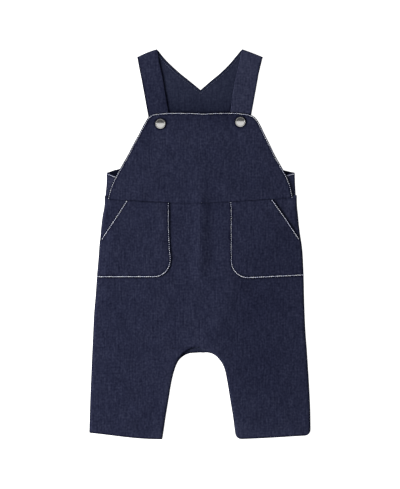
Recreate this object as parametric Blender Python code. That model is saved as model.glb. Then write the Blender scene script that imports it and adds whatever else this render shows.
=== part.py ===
"""Kids' dungarees laid flat with the front up: shoulders towards +Y, hems towards -Y, the back on the floor.

The sizes are in millimetres. "Across" runs along X from the middle of the garment, "up" runs along Y from
its middle towards the shoulders, and heights are above the floor. Left and right are as seen from above.
Each piece of cloth is a grid of points down the middle of its wall, given thickness at the end.
"""

import math
from collections import namedtuple

import bmesh
import bpy
import numpy as np

MM = 0.001
SIDES = ("left", "right")

WALL = 1.0  # cloth with its turned edges and facing
SEAM_GAP = 0.3  # between pieces that are sewn together or lie on each other
BIB_EASE = 0.5  # what the bib lies looser than that on the straps and side wraps
FOLD_RADIUS = 0.8  # of the middle of the wall, where cloth turns back over itself
FOLD_REACH = FOLD_RADIUS + WALL / 2  # how far such a fold bulges past its line

# Heights of the middle of each layer.
BACK_MID = WALL / 2
TURNED_MID = BACK_MID + 2 * FOLD_RADIUS
BIB_MID = TURNED_MID + WALL + SEAM_GAP + BIB_EASE
LEG_MID = 2.7
POCKET_LIFT = WALL + SEAM_GAP

# How many rows of points run down each stretch of a piece, and how many columns run across it.
CURVE_STEPS = 12  # points on a curve for each row of its table
CORNER_STEPS = 4
FOLD_STEPS = 4
FRONT_LEG_ROWS, FRONT_LEG_COLUMNS = (16, 12, 2), 14
BACK_LEG_ROWS, BACK_LEG_COLUMNS = (6, 10, 2), 4
BIB_ROWS, BIB_COLUMNS = (16, CORNER_STEPS), 20
BODICE_ROWS, BODICE_COLUMNS = (4, 9, 9), 6
STRAP_ROWS = 9
WRAP_COLUMNS = 3
POCKET_ROWS, POCKET_COLUMNS = (6, 5, CORNER_STEPS), 10
STUD_STEPS = 28

# Each row says how far up the line of an edge is, and how far across it runs on the left and on the right.
Row = namedtuple("Row", "up left right")

WAIST_UP = 55.5  # of the waist seam at the sides
WAIST_DIP = 6.0  # how much lower the seam hangs at the centre front
WAIST_DIP_FADES = 45.0  # how far above and below the seam the dip is still felt
WAIST_HALF = 114.0

SIDE_SEAM = (
    Row(WAIST_UP, -113.9, 115.4),
    Row(10.0, -118.9, 120.1),
    Row(-40.0, -123.3, 124.3),
    Row(-109.0, -128.0, 126.6),
    Row(-165.0, -130.5, 130.5),
    Row(-225.0, -132.4, 132.4),
)
CROTCH_UP = -129.6
INSEAM = (
    Row(CROTCH_UP, -1.0, 1.0),
    Row(-130.2, -13.0, 13.0),
    Row(-134.5, -21.0, 19.8),
    Row(-142.0, -27.6, 26.2),
    Row(-156.0, -32.5, 31.4),
    Row(-180.0, -37.0, 35.8),
    Row(-210.0, -41.9, 40.2),
    Row(-233.3, -45.6, 43.6),
)
CENTRE_SEAM = (Row(WAIST_UP, 2.0, 2.0), Row(CROTCH_UP, 0.0, 0.0))
CROTCH_RISE = 3.5  # the front stops this far above the back's edge at the crotch
CROTCH_RISE_HALF = 20.0
HEM_CORNER = Row(-230.0, 1.2, 5.0)  # radii of the hem's corners on each leg
HEM_DEPTH = 11.0
HEM_LIFT = 0.4  # the turn-up's extra height
HEM_RAMP = 2.0  # how far above the turn-up that height fades out

BIB_SIDE = (
    Row(WAIST_UP, -111.0, 111.5),
    Row(72.0, -105.8, 107.8),
    Row(89.5, -96.1, 99.2),
    Row(106.8, -86.3, 89.6),
    Row(130.8, -73.2, 77.8),
    Row(157.1, -60.0, 65.0),
)
BIB_CORNER = 18.0
BIB_SINK = 0.3  # how far the bib sinks in its middle, between the straps and side wraps that it lies on
BIB_SINK_UP = 110.0
BIB_SINK_HALF_WIDTH = 50.0
BIB_SINK_HALF_HEIGHT = 35.0

V_NECK = (
    Row(184.4, 0.6, 0.6),
    Row(194.4, -11.0, 12.0),
    Row(213.6, -33.6, 33.2),
    Row(233.2, -52.2, 51.6),
)
ARMHOLE = (
    Row(84.7, -111.6, 113.2),
    Row(90.5, -96.0, 98.0),
    Row(101.0, -82.8, 84.6),
    Row(116.0, -71.5, 72.5),
    Row(134.0, -63.5, 64.0),
    Row(160.0, -60.8, 60.0),
    Row(196.0, -68.0, 68.0),
    Row(223.4, -74.4, 74.6),
)
NECK_LEVEL = 5  # the armhole row that a line across from the point of the V meets
SIDE_FOLD = (
    Row(WAIST_UP, -113.8, 115.3),
    Row(70.0, -112.1, 114.1),
    Row(84.7, -111.6, 113.2),
)
WRAP_EDGE = (Row(WAIST_UP, -84.0, 84.0), Row(75.5, -88.0, 88.0))
STRAP_OUTER = (
    Row(223.4, -74.4, 74.6),
    Row(156.0, -62.2, 61.3),
    Row(134.0, -58.2, 57.1),
)
STRAP_INNER = (
    Row(233.2, -52.2, 51.6),
    Row(202.0, -45.5, 43.8),
    Row(160.2, -38.4, 37.1),
    Row(136.0, -34.3, 34.5),
)

POCKET_MOUTH = (Row(WAIST_UP, -87.1, 86.5), Row(5.6, -119.4, 120.5))
POCKET_SIDE_END = -38.8
POCKET_INNER = (
    Row(WAIST_UP, -36.7, 35.5),
    Row(12.0, -36.0, 36.2),
    Row(-41.0, -34.2, 36.4),
)
POCKET_CORNER = 17.0
POCKET_BOTTOM_DIP = 2.0
POCKET_STRETCHES = 0.6  # the share of its inner edge beside the mouth, and of its side above the corner

STUD_PLACES = ((-47.6, 145.0), (48.4, 147.2))
Turn = namedtuple("Turn", "radius height")
STUD_PROFILE = (
    Turn(0.0, 0.0),
    Turn(5.75, 0.0),
    Turn(6.25, 0.4),
    Turn(6.25, 0.9),
    Turn(5.75, 1.3),  # the rolled rim
    Turn(5.15, 1.2),
    Turn(3.4, 1.75),  # the dome
    Turn(1.6, 2.0),
    Turn(0.0, 2.05),
)

# The largest folds: soft ridges, or troughs where the height is negative, along a line from a point
# across and up to another.
Fold = namedtuple("Fold", "from_across from_up to_across to_up width height")
FRONT_FOLDS = (
    Fold(1.5, 50.0, 1.0, -36.0, 8.0, 1.8),  # over the centre front seam, below the waist
    Fold(2.0, 96.0, 2.0, 60.0, 9.0, 0.7),  # and above it
    Fold(15.0, 45.0, 13.0, -20.0, 8.0, -0.5),  # beside it
    Fold(-60.0, -60.0, -86.0, -120.0, 16.0, 0.5),  # down the left leg
    Fold(-106.0, 20.0, -112.0, -60.0, 9.0, 0.5),
    Fold(-30.0, -95.0, -14.0, -112.0, 10.0, 0.5),  # pulls up from the crotch
    Fold(28.0, -90.0, 12.0, -112.0, 10.0, 0.5),
    Fold(50.0, -50.0, 76.0, -140.0, 16.0, 0.6),  # down the right leg
    Fold(-66.0, 134.0, -58.0, 112.0, 10.0, -0.4),  # below the studs
    Fold(40.0, 132.0, 44.0, 112.0, 11.0, -0.4),
)
SEAM_ROLL = 0.8  # how far the front comes down to meet the back at its edge
SEAM_ROLL_WIDTH = 4.0

DENIM_COLOUR = (0.022, 0.025, 0.048, 1.0)
NICKEL_COLOUR = (0.66, 0.61, 0.53, 1.0)


def outward(side):
    """The direction across, away from the middle."""
    return -1 if side == "left" else 1


def points_of(rows, side):
    """A table's edge on one side, as points across and up."""
    return [(getattr(row, side), row.up) for row in rows]


def smooth(points):
    """A smooth curve through the points."""
    p = np.array(points, float)
    if len(p) == 2:
        return p
    ends = np.vstack([2 * p[0] - p[1], p, 2 * p[-1] - p[-2]])
    t = np.linspace(0, 1, CURVE_STEPS, endpoint=False)[:, None]
    spans = []
    for a, b, c, d in zip(ends, ends[1:], ends[2:], ends[3:]):
        cubic = 3 * b - a - 3 * c + d
        spans.append(b + ((c - a) * t + (2 * a - 5 * b + 4 * c - d) * t**2 + cubic * t**3) / 2)
    return np.vstack([*spans, p[-1:]])


def spaced(curve, spans):
    """The curve again, with its points evenly apart."""
    steps = np.linalg.norm(np.diff(curve, axis=0), axis=1)
    along = np.concatenate([[0], np.cumsum(steps)])
    at = np.linspace(0, along[-1], spans + 1)
    return np.stack([np.interp(at, along, curve[:, k]) for k in range(2)], axis=1)


def corner(before, tip, after, radius):
    """The arc that rounds off the corner at tip."""
    before, tip, after = (np.array(p, float) for p in (before, tip, after))
    back = (before - tip) / np.linalg.norm(before - tip)
    on = (after - tip) / np.linalg.norm(after - tip)
    half = math.acos(np.clip(back @ on, -1, 1)) / 2
    middle = tip + (back + on) / np.linalg.norm(back + on) * radius / math.sin(half)
    start = tip + back * radius / math.tan(half) - middle
    end = tip + on * radius / math.tan(half) - middle
    turn = math.pi - 2 * half
    steps = np.linspace(0, turn, CORNER_STEPS + 1)[:, None]
    return middle + (np.sin(turn - steps) * start + np.sin(steps) * end) / math.sin(turn)


def fine_edges(columns):
    """Places from 0 to 1 across a panel, closer together near its edges."""
    return (1 - np.cos(np.pi * np.arange(columns + 1) / columns)) / 2


def even(columns):
    return np.linspace(0, 1, columns + 1)


def rule(bands, across):
    """Rows of points that cross a panel. A band gives two edges and how many rows run between them."""
    rows = []
    for first, second, count in bands:
        ends = zip(spaced(first, count), spaced(second, count))
        made = [a + (b - a) * across[:, None] for a, b in ends]
        rows += made[1:] if rows else made
    return np.array(rows)


def at_height(grid, height):
    """The grid's points with their heights, one for all or one for each."""
    heights = np.broadcast_to(np.asarray(height, float), grid.shape[:2])
    return np.concatenate([grid, heights[..., None]], axis=2)


def dipped(grid):
    """The grid with the waist seam's dip."""
    across, up = grid[..., 0], grid[..., 1]
    middle = 1 - np.clip(np.abs(across) / WAIST_HALF, 0, 1) ** 1.5
    near = np.clip(1 - np.abs(up - WAIST_UP) / WAIST_DIP_FADES, 0, 1)
    return np.stack([across, up - WAIST_DIP * middle * near], axis=2)


def folds_at(across, up):
    """How far the folds raise each point."""
    total = np.zeros_like(across)
    for fold in FRONT_FOLDS:
        start = np.array([fold.from_across, fold.from_up])
        run = np.array([fold.to_across, fold.to_up]) - start
        share = ((across - start[0]) * run[0] + (up - start[1]) * run[1]) / (run @ run)
        share = np.clip(share, 0, 1)
        away = np.hypot(across - start[0] - share * run[0], up - start[1] - share * run[1])
        total += fold.height * np.exp(-((away / fold.width) ** 2))
    return total


def distance_to(curve, grid):
    dense = spaced(curve, len(curve) * CORNER_STEPS)
    return np.linalg.norm(grid[..., None, :] - dense, axis=3).min(axis=2)


def leg_height(grid, side):
    """The middle of the front leg's wall: high at the bib, rolled down at the side seam and the inseam."""
    across, up = grid[..., 0], grid[..., 1]
    near_bib = np.clip(1 - (WAIST_UP - up) / WAIST_DIP_FADES, 0, 1)
    height = LEG_MID + (BIB_MID - LEG_MID) * near_bib**2 * (3 - 2 * near_bib)
    for rows in (SIDE_SEAM, INSEAM):
        away = distance_to(smooth(points_of(rows, side)), grid)
        height = height - SEAM_ROLL * np.exp(-((away / SEAM_ROLL_WIDTH) ** 2))
    return height + folds_at(across, up)


def bib_height(grid):
    """The middle of the bib's wall."""
    across, up = grid[..., 0], grid[..., 1]
    sunk = np.exp(-((across / BIB_SINK_HALF_WIDTH) ** 2) - ((up - BIB_SINK_UP) / BIB_SINK_HALF_HEIGHT) ** 2)
    return BIB_MID - BIB_SINK * sunk + folds_at(across, up)


def turn_over(row, direction):
    """The rows that carry the cloth round a fold, from a row on the floor to the same row above itself."""
    rows = []
    for angle in np.linspace(0, math.pi, FOLD_STEPS + 1)[1:]:
        place = row + np.array(direction) * FOLD_RADIUS * math.sin(angle)
        rows.append(at_height(place[None], BACK_MID + FOLD_RADIUS * (1 - math.cos(angle)))[0])
    return np.array(rows)


def add_object(name, mesh, material):
    """The bmesh as a smooth object, with its faces pointing out."""
    bmesh.ops.remove_doubles(mesh, verts=mesh.verts, dist=0.01 * MM)
    bmesh.ops.recalc_face_normals(mesh, faces=mesh.faces)
    data = bpy.data.meshes.new(name)
    mesh.to_mesh(data)
    mesh.free()
    data.materials.append(material)
    data.shade_smooth()
    piece = bpy.data.objects.new(name, data)
    bpy.context.collection.objects.link(piece)
    return piece


def cloth(name, grids, material):
    """One closed wall from grids of its middle points, welded where they meet."""
    mesh = bmesh.new()
    for grid in grids:
        verts = [[mesh.verts.new(point * MM) for point in row] for row in grid]
        for low, high in zip(verts, verts[1:]):
            for a, b, c, d in zip(low, low[1:], high[1:], high):
                mesh.faces.new((a, b, c, d))
    piece = add_object(name, mesh, material)
    wall = piece.modifiers.new("wall", "SOLIDIFY")
    wall.thickness = WALL * MM
    wall.offset = 0
    wall.use_even_offset = True
    return piece


def principled(name, colour, roughness, metallic):
    material = bpy.data.materials.new(name)
    material.use_nodes = True
    shader = material.node_tree.nodes["Principled BSDF"]
    shader.inputs["Base Color"].default_value = colour
    shader.inputs["Roughness"].default_value = roughness
    shader.inputs["Metallic"].default_value = metallic
    return material


def leg_grid(side, rows, columns, rise):
    """One leg: side seam to centre seam down to the crotch, then side seam to inseam down to the hem."""
    seam = smooth(points_of(SIDE_SEAM, side))
    split = int(np.argmin(np.abs(seam[:, 1] - CROTCH_UP)))
    centre = np.array(points_of(CENTRE_SEAM, side)) + [outward(side) * SEAM_GAP / 2, 0]
    inseam = smooth([centre[-1], *points_of(INSEAM, side)[1:]])
    inseam[:, 1] += rise * np.clip(1 - np.abs(inseam[:, 0]) / CROTCH_RISE_HALF, 0, 1)
    centre[-1] = inseam[0]
    radius = getattr(HEM_CORNER, side)
    outer = corner(seam[-2], seam[-1], inseam[-1], radius)
    inner = corner(inseam[-2], inseam[-1], seam[-1], radius)
    lower_side = [p for p in seam[split:] if p[1] > outer[0][1]]
    lower_inner = [p for p in inseam if p[1] > inner[0][1]]
    edges = (
        (seam[: split + 1], centre),
        (np.vstack([lower_side, outer[:1]]), np.vstack([lower_inner, inner[:1]])),
        (outer, inner),
    )
    grid = rule([(*pair, count) for pair, count in zip(edges, rows)], columns)
    grid[0, :, 1] -= SEAM_GAP / 2
    return grid


def above_hem(grid):
    """How far each point is above its leg's hem, which is the grid's last row."""
    hem = grid[-1]
    order = np.argsort(hem[:, 0])
    return grid[..., 1] - np.interp(grid[..., 0], hem[order, 0], hem[order, 1])


def front_leg(side, denim):
    grid = dipped(leg_grid(side, FRONT_LEG_ROWS, fine_edges(FRONT_LEG_COLUMNS), CROTCH_RISE))
    turned_up = np.clip(1 + (HEM_DEPTH - above_hem(grid)) / HEM_RAMP, 0, 1)
    return cloth(f"front_leg_{side}", [at_height(grid, leg_height(grid, side) + HEM_LIFT * turned_up)], denim)


def back_leg(side, denim):
    grid = leg_grid(side, BACK_LEG_ROWS, even(BACK_LEG_COLUMNS), 0.0)
    return cloth(f"back_leg_{side}", [at_height(grid, BACK_MID)], denim)


def bib(denim):
    sides = [np.array(points_of(BIB_SIDE, side)) for side in SIDES]
    tips = [side[-1] for side in sides]
    arcs = [
        corner(side[-2], tip, other, BIB_CORNER)
        for side, tip, other in zip(sides, tips, reversed(tips))
    ]
    slants = [smooth(np.vstack([side[:-1], arc[:1]])) for side, arc in zip(sides, arcs)]
    grid = dipped(rule([(*slants, BIB_ROWS[0]), (*arcs, BIB_ROWS[1])], fine_edges(BIB_COLUMNS)))
    grid[0, :, 1] += SEAM_GAP / 2
    return cloth("bib", [at_height(grid, bib_height(grid))], denim)


def shoulder(side):
    """The line at the shoulder where the strap folds over, its outer end first, and the way up over it."""
    ends = np.array([points_of(ARMHOLE, side)[-1], points_of(V_NECK, side)[-1]])
    along = (ends[1] - ends[0]) / np.linalg.norm(ends[1] - ends[0])
    over = outward(side) * np.array([along[1], -along[0]])
    return ends - over * FOLD_REACH, over


def bodice_grid(side, shoulder_line):
    """Half of the back, from the waist up to the shoulder."""
    fold = smooth(points_of(SIDE_FOLD, side)) - [outward(side) * FOLD_REACH, 0]
    arm = smooth([fold[-1], *points_of(ARMHOLE, side)[1:-1], shoulder_line[0]])
    neck = smooth(points_of(V_NECK, side))
    level = NECK_LEVEL * CURVE_STEPS
    waist, underarm, neck_point = ((V_NECK[0].left, up) for up in (WAIST_UP, fold[-1][1], V_NECK[0].up))
    edges = (
        (fold, np.array([waist, underarm])),
        (arm[: level + 1], np.array([underarm, neck_point])),
        (arm[level:], np.vstack([neck[:-1], shoulder_line[1:]])),
    )
    grid = rule([(*pair, count) for pair, count in zip(edges, BODICE_ROWS)], even(BODICE_COLUMNS))
    grid[0, :, 1] += SEAM_GAP / 2
    return grid


def half_bodice(side):
    """One side of the back bodice: up to the shoulder, over it and down its strap, then its side wrap."""
    shoulder_line, over = shoulder(side)
    back = bodice_grid(side, shoulder_line)
    strap_outer = smooth([shoulder_line[0], *points_of(STRAP_OUTER, side)[1:]])
    strap_inner = smooth([shoulder_line[1], *points_of(STRAP_INNER, side)[1:]])
    strap = rule([(strap_outer, strap_inner, STRAP_ROWS)], even(BODICE_COLUMNS))
    up_and_over = np.concatenate([
        at_height(back, BACK_MID),
        turn_over(back[-1], over),
        at_height(strap[1:], TURNED_MID),
    ])
    fold_line = back[: BODICE_ROWS[0] + 1, 0]
    edge = spaced(np.array(points_of(WRAP_EDGE, side)), BODICE_ROWS[0])
    edge[0, 1] += SEAM_GAP / 2
    wrap = np.array([fold_line + (edge - fold_line) * share for share in even(WRAP_COLUMNS)[1:]])
    forward = np.concatenate([
        at_height(fold_line[None], BACK_MID),
        turn_over(fold_line, (outward(side), 0)),
        at_height(wrap, TURNED_MID),
    ])
    return [up_and_over, forward]


def back_bodice(denim):
    return cloth("back_bodice", half_bodice("left") + half_bodice("right"), denim)


def pocket_grid(side):
    """A patch pocket from its slanted mouth and the side seam to its inner edge and rounded corner."""
    seam = smooth(points_of(SIDE_SEAM, side))
    mouth = np.array(points_of(POCKET_MOUTH, side))
    inner = smooth(points_of(POCKET_INNER, side))
    down = [p for p in seam if POCKET_SIDE_END < p[1] < mouth[-1][1]]
    bottom = (np.interp(POCKET_SIDE_END, seam[::-1, 1], seam[::-1, 0]), POCKET_SIDE_END)
    arc = corner(inner[-2], inner[-1], bottom, POCKET_CORNER)
    straight = spaced(np.vstack([[p for p in inner if p[1] > arc[0][1]], arc[:1]]), CURVE_STEPS)
    level = round(CURVE_STEPS * POCKET_STRETCHES)
    side_end = spaced(np.vstack([mouth[-1:], down, [bottom]]), CURVE_STEPS)
    edges = (
        (mouth, straight[: level + 1]),
        (side_end[: level + 1], straight[level:]),
        (side_end[level:], arc),
    )
    across = fine_edges(POCKET_COLUMNS)
    grid = rule([(*pair, count) for pair, count in zip(edges, POCKET_ROWS)], across)
    grid[-1, :, 1] -= POCKET_BOTTOM_DIP * np.sin(np.pi * across)
    grid = dipped(grid)
    grid[0, :, 1] -= SEAM_GAP / 2
    return grid


def pocket(side, denim):
    """It lies on the front leg, so its heights are the leg's, moved out."""
    grid = pocket_grid(side)
    return cloth(f"pocket_{side}", [at_height(grid, leg_height(grid, side) + POCKET_LIFT)], denim)


def stud(side, place, nickel):
    """A press stud's cap: a rolled rim round a low dome, turned about its own axis."""
    mesh = bmesh.new()
    verts = [mesh.verts.new((turn.radius * MM, 0, turn.height * MM)) for turn in STUD_PROFILE]
    edges = [mesh.edges.new(pair) for pair in zip(verts, verts[1:])]
    outline = verts + edges
    about = {"cent": (0, 0, 0), "axis": (0, 0, 1)}
    bmesh.ops.spin(mesh, geom=outline, angle=math.tau, steps=STUD_STEPS, use_merge=True, **about)
    cap = add_object(f"stud_{side}", mesh, nickel)
    cap.data.set_sharp_from_angle(angle=math.radians(40))
    top_of_bib = float(bib_height(np.array([[place]]))[0, 0]) + WALL / 2
    cap.location = (place[0] * MM, place[1] * MM, (top_of_bib + SEAM_GAP) * MM)
    return cap


def build():
    for old in list(bpy.data.objects):
        bpy.data.objects.remove(old)
    denim = principled("indigo_chambray", DENIM_COLOUR, 0.85, 0.0)
    nickel = principled("nickel_plated_brass", NICKEL_COLOUR, 0.15, 1.0)
    back_bodice(denim)
    bib(denim)
    for side, place in zip(SIDES, STUD_PLACES):
        back_leg(side, denim)
        front_leg(side, denim)
        pocket(side, denim)
        stud(side, place, nickel)


build()
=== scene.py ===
"""A baby's indigo denim dungarees, laid flat with the front up: cloth, topstitching and press studs.

Sizes are in millimetres. "Across" runs along X from the middle of the garment, "up" runs along Y towards
the shoulders, and heights are above the floor. Left and right are as seen from above.
"""

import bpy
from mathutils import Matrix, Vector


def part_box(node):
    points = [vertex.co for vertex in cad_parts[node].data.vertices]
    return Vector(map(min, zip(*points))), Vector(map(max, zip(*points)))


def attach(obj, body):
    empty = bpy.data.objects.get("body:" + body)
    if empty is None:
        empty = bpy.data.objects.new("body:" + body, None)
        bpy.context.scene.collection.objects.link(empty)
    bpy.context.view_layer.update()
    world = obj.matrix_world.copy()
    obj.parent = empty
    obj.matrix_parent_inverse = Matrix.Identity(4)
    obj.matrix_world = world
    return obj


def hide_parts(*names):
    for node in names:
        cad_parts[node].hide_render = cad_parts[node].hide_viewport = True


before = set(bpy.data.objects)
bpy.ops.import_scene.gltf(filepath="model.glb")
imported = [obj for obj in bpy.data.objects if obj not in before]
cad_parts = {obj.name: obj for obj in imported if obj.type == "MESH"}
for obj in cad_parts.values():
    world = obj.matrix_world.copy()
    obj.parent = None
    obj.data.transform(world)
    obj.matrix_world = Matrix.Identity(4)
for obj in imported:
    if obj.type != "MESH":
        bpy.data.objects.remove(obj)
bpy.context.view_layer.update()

import math
from collections import namedtuple

import bmesh
import bpy
import numpy as np
from mathutils import Vector

MM = 0.001
SIDES = ("left", "right")
Row = namedtuple("Row", "up left right")  # how far up two points are, and how far across each of them


def pair(left, right):
    """One value for each side."""
    return {"left": left, "right": right}


# ---------------------------------------------------------------- sizes of the cloth and of how it lies

CLOTH = 1.0  # thickness of the denim with its turned edges
HALF = CLOTH / 2
EDGE_INSET = 0.1  # from a piece's outline to the middle of its rounded edge, which is worn a little full
FOLD_RADIUS = 0.8  # of the middle of the cloth, where it turns back over itself
FOLD_REACH = FOLD_RADIUS + HALF
FOLD_STEPS = 8
RIM_STEPS = 4  # round the edge of a piece, from its upper side to its lower one
WELD = 0.01  # points closer than this are joined

BACK_MID = HALF
TURNED_MID = BACK_MID + 2 * FOLD_RADIUS
BIB_MID = 3.9
LEG_MID = 2.7
SEAM_MID = 1.55  # where the front rolls down to meet the back at the side seam and the inseam
SEAM_ROLL = 1.3  # the width over which it does
CORNER_MID = 3.3  # the side seam's upper end, which lies on the side wrap
SEAM_LAP = 0.1  # of the two edges along the waist seam, so that nothing shows between them
SEAM_EASE = 4.0  # how far from the seam the cloth is moved to make it
CENTRE_LAP = 0.6  # of the two legs along the centre seam, which is pressed flat
SEAM_SINK = 0.7  # of the waist seam below the cloth beside it
SEAM_SINK_HALF = 1.2
POCKET_LIFT = 1.1  # from the middle of the leg's cloth to the middle of its own
POCKET_FULL = 0.35  # how much higher it is, away from where it is sewn down
POCKET_FULL_FROM = 9.0

STEP = 1.7  # between the points of a panel
BIB_STEP = 1.1  # which is finer, for the rings round the studs
CLOSE_STEPS = (0.5, 1.1, 1.8, 2.7)  # by its edges
CURVE_STEPS = 10  # from one point of a table to the next
CORNER_STEPS = 8
WAIST_STEPS = 60
BIB_TOP_STEPS = 40
POCKET_INNER_STEPS = (20, 40)  # across from the mouth, and below it
SEEN_STEP = 0.7  # between the places on a line from which distances are measured
SEEN_AT_ONCE = 4000  # points whose distances are worked out together

# How wide and high the panels' rows and columns of points are taken to be, and points well inside the panels.
LEG_WIDTH = 110
LEG_INSIDE = 80
BIB_WIDTH = 170
BIB_INSIDE = (0, 80)
POCKET_WIDTH = 80
POCKET_MOUTH_HEIGHT = 60
POCKET_HEIGHT_BELOW = 46
POCKET_INSIDE = 75
BACK_WIDTH = 100
BACK_INSIDE = (0, 120)
BACK_HEIGHTS = (30, 95, 70)  # up to the underarm, from there to the point of the V, and on to the shoulder
SHOULDER_INSIDE = pair((-60, 180), (60, 180))
STRAP_INSIDE = pair((-52, 180), (52, 180))
STRAP_LENGTH = 97
WRAP_DEPTH = 25

WAIST_UP = 55.5
WAIST_DIP = 6.0
WAIST_DIP_MIDDLE = -10.0
WAIST_DIP_HALF = 112.0
WAIST_DIP_FADES = 45.0
WAIST_HALF = 114.0
CORNER_FROM = 107.0  # outwards from here, the trouser fronts' upper corners stand up past the waist seam
CORNER_OVER = 6.0
CORNER_RISE = 4.0  # and reach so much higher
CORNER_FADES = 12.0

SIDE_SEAM = (
    Row(WAIST_UP, -114, 115.8),
    Row(46.8, -114.4, 116.1),
    Row(34.8, -116.6, 117.4),
    Row(22.8, -118.1, 118.5),
    Row(10.8, -119.2, 120.1),
    Row(-1.2, -120.5, 121.9),
    Row(-13.2, -121.3, 123),
    Row(-37.2, -123.4, 124.1),
    Row(-61.2, -125.1, 124.7),
    Row(-85.2, -127.1, 125.4),
    Row(-109.2, -128.2, 126.7),
    Row(-133.2, -129.3, 128.5),
    Row(-177.6, -131.2, 131.2),
    Row(-201.6, -132, 132.2),
    Row(-225, -132.7, 132.5),
)
CROTCH_UP = -129.6
INSEAM = (
    Row(CROTCH_UP, -1, 1),
    Row(-130.2, -11, 12),
    Row(-131.4, -15.8, 15.8),
    Row(-133.2, -19.2, 18.8),
    Row(-135.6, -22.6, 21.5),
    Row(-138.6, -25.5, 24),
    Row(-142.8, -28, 27),
    Row(-150, -30.8, 30),
    Row(-159.6, -33.4, 32.2),
    Row(-171.6, -35.8, 34.3),
    Row(-183.6, -37.7, 36.2),
    Row(-207.6, -41.7, 40.1),
    Row(-219.6, -43.4, 41.6),
    Row(-233.6, -45.6, 43.6),
)
CENTRE_SEAM = (Row(WAIST_UP, 2, 2), Row(CROTCH_UP, 0, 0))
HEM_TIP = pair(-225.8, -228.8)  # how far up the outer end of each hem is
HEM_CORNER = pair(0.7, 7)  # radii of the hems' corners
HEM_BOW = pair(1.35, 0.3)  # how far they hang lower between their ends
HEM_DEPTH = 11.0
HEM_LIFT = 0.35  # of the cloth over its turning
HEM_RAMP = 1.2

# The trouser fronts' edge at the crotch has ridden up off the back's, most of all left of the middle.
Lift = namedtuple("Lift", "across by")
CROTCH_LIFTS = (
    Lift(-28, 0),
    Lift(-24.5, 1.2),
    Lift(-20.4, 3.4),
    Lift(-16.2, 4.4),
    Lift(-12, 5.4),
    Lift(-7, 7.2),
    Lift(0, 5.8),
    Lift(10, 2.6),
    Lift(21, 0),
)
CREASE_END = -4.0  # its shadow reaches from the left to here, and fades over the last of it
CREASE_FADES = 9.0

BIB_TOP = 158.2
BIB_SIDE = (
    Row(WAIST_UP, -110.8, 111.6),
    Row(64, -108.7, 110),
    Row(73, -105.5, 107.6),
    Row(82, -101.2, 103.7),
    Row(90.5, -96.3, 99),
    Row(106.8, -86.7, 89.8),
    Row(118.8, -80.6, 84),
    Row(130.8, -73.9, 78),
    Row(142.8, -67.8, 72.2),
    Row(BIB_TOP, -58.8, 63.5),
)
BIB_CORNER = pair(14, 19)
Sag = namedtuple("Sag", "across half_width by")
BIB_TOP_SAGS = (Sag(5, 10, 0.95), Sag(-53, 9, 1.2), Sag(57, 9, 1.4))
BIB_TOP_SAG_FADES = 27.0
BIB_SINK = 0.3  # into the hollow of the back, round the place that follows
BIB_SINK_UP = 110.0
BIB_SINK_HALF_WIDTH = 50.0
BIB_SINK_HALF_HEIGHT = 35.0

V_NECK = (
    Row(185.2, 0.6, 0.6),
    Row(194.8, -11, 11.6),
    Row(204.2, -22.8, 23),
    Row(213.8, -33.6, 33.1),
    Row(223.4, -43.1, 41.5),
    Row(234.6, -52, 50.7),
)
V_HALF_ANGLE = math.radians(49)
UNDERARM_UP = 86.1
ARMHOLE = (
    Row(UNDERARM_UP, -112.2, 113.8),
    Row(89.2, -102.5, 99.5),
    Row(91.4, -95, 92.5),
    Row(101, -82.8, 84.6),
    Row(116, -71.5, 72.5),
    Row(134, -63.5, 64),
    Row(160, -60.8, 60),
    Row(196, -68, 68),
    Row(225.2, -75.4, 75.3),
)
NECK_LEVEL = 6  # the armhole's point from which the back's rows run to the neck's edge
SHOULDER_BOW = pair(0.8, 0.3)  # how much further the straps' folds reach in their middle
SHOULDER_BOW_FROM = 195.0
SIDE_FOLD = (
    Row(WAIST_UP, -113.9, 115.1),
    Row(63, -113.3, 114.8),
    Row(72, -112.4, 114.3),
    Row(UNDERARM_UP, -112.2, 113.8),
)
WRAP_INNER = pair(-88, 88)
WRAP_INNER_UP = pair(75.9, 79)
STRAP_OUTER = (
    ARMHOLE[-1],
    Row(213.6, -73, 71.6),
    Row(194.4, -69.2, 68.3),
    Row(156, -62.2, 61.3),
    Row(134, -58.2, 57.1),
)
STRAP_INNER = (
    V_NECK[-1],
    Row(217.2, -48.9, 47.2),
    Row(202, -45.5, 43.7),
    Row(180.5, -41.9, 39.4),
    Row(160.2, -38.4, 37.1),
    Row(136, -34.3, 34.5),
)
STRAP_WIDTH = 23.0
BACK_STEP = 2.4

POCKET_MOUTH = (Row(WAIST_UP, -88.6, 87), Row(33.5, -101.6, 102), Row(5.6, -119.6, 120.5))
POCKET_INNER = (
    Row(WAIST_UP, -36.8, 35.7),
    Row(44, -36.7, 36.3),
    Row(12, -36.4, 36.3),
    Row(-4, -35.6, 36.3),
    Row(-16, -34.5, 36.4),
)
POCKET_TIP = pair(-34.3, 36.5)  # how far across the lower inner corner is, before it is rounded
POCKET_TIP_UP = pair(-39.8, -42.1)
POCKET_END_UP = pair(-39.8, -37.7)  # where the bottom meets the side seam
POCKET_CORNER = 21
POCKET_OPPOSITE_MOUTH = 0.52  # share of the inner edge that lies across from the mouth

# ---------------------------------------------------------------- folds and shades

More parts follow.
